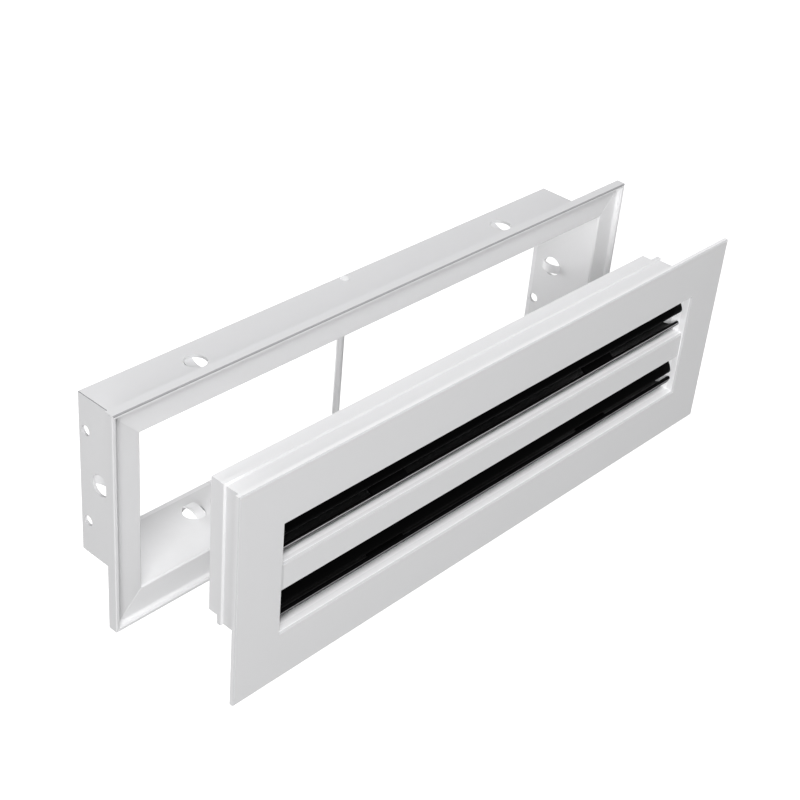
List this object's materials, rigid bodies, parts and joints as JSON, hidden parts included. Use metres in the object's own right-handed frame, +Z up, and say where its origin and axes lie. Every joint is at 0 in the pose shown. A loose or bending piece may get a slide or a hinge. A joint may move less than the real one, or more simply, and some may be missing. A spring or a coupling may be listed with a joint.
{
  "type": "linear slot diffuser",
  "caption": "Linear slot diffuser: a flanged wall frame and a removable slotted core with adjustable deflector blades.",
  "frame": {"origin": "centre of the rectangular wall opening, in the plane of the finished wall", "axes": "+X along the slots, to the right as seen from the room; +Y into the wall, along the air duct; +Z up"},
  "size_m": [0.314, 0.1015, 0.1036],
  "materials": {
    "frame_paint": "satin white powder coat on aluminium",
    "core_paint": "satin white powder coat on aluminium",
    "blade_black": "satin black extrusion with a slight sheen",
    "bare_aluminium": "cast, unpainted",
    "bright_steel": "zinc plated"
  },
  "bodies": {
    "frame": {"frame_top": "frame_paint", "frame_bottom": "frame_paint", "frame_left": "frame_paint", "frame_right": "frame_paint", "frame_key_top_left": "bare_aluminium", "frame_key_top_right": "bare_aluminium", "frame_key_bottom_left": "bare_aluminium", "frame_key_bottom_right": "bare_aluminium", "tie_rod": "frame_paint"},
    "core": {"core_top": "core_paint", "core_bottom": "core_paint", "core_left": "core_paint", "core_right": "core_paint", "core_key_top_left": "bare_aluminium", "core_key_top_right": "bare_aluminium", "core_key_bottom_left": "bare_aluminium", "core_key_bottom_right": "bare_aluminium", "centre_bar": "core_paint", "end_plate_left": "core_paint", "end_plate_right": "core_paint", "bar_screws_left": "bright_steel", "bar_screws_right": "bright_steel", "pivot_rod_upper": "bright_steel", "pivot_rod_lower": "bright_steel", "rod_washers_left": "bright_steel", "rod_washers_right": "bright_steel"},
    "upper_slot_top_blade": {"upper_slot_top_blade": "blade_black"},
    "upper_slot_low_blade": {"upper_slot_low_blade": "blade_black"},
    "lower_slot_top_blade": {"lower_slot_top_blade": "blade_black"},
    "lower_slot_low_blade": {"lower_slot_low_blade": "blade_black"}
  },
  "joints": [
    {"name": "core_slide", "type": "slide", "parent": "frame", "child": "core", "axis": [0, 1, 0], "range_m": [0, 0.0634]},
    {"name": "upper_slot_top_blade_turn", "type": "hinge", "parent": "core", "child": "upper_slot_top_blade", "pos_m": [0, -0.056, 0.0162], "axis": [1, 0, 0], "range_deg": [-22, 8]},
    {"name": "upper_slot_low_blade_turn", "type": "hinge", "parent": "core", "child": "upper_slot_low_blade", "pos_m": [0, -0.056, 0.0162], "axis": [1, 0, 0], "range_deg": [-20, 8]},
    {"name": "lower_slot_top_blade_turn", "type": "hinge", "parent": "core", "child": "lower_slot_top_blade", "pos_m": [0, -0.056, -0.0162], "axis": [1, 0, 0], "range_deg": [-30, 0]},
    {"name": "lower_slot_low_blade_turn", "type": "hinge", "parent": "core", "child": "lower_slot_low_blade", "pos_m": [0, -0.056, -0.0162], "axis": [1, 0, 0], "range_deg": [-4, 24]}
  ]
}
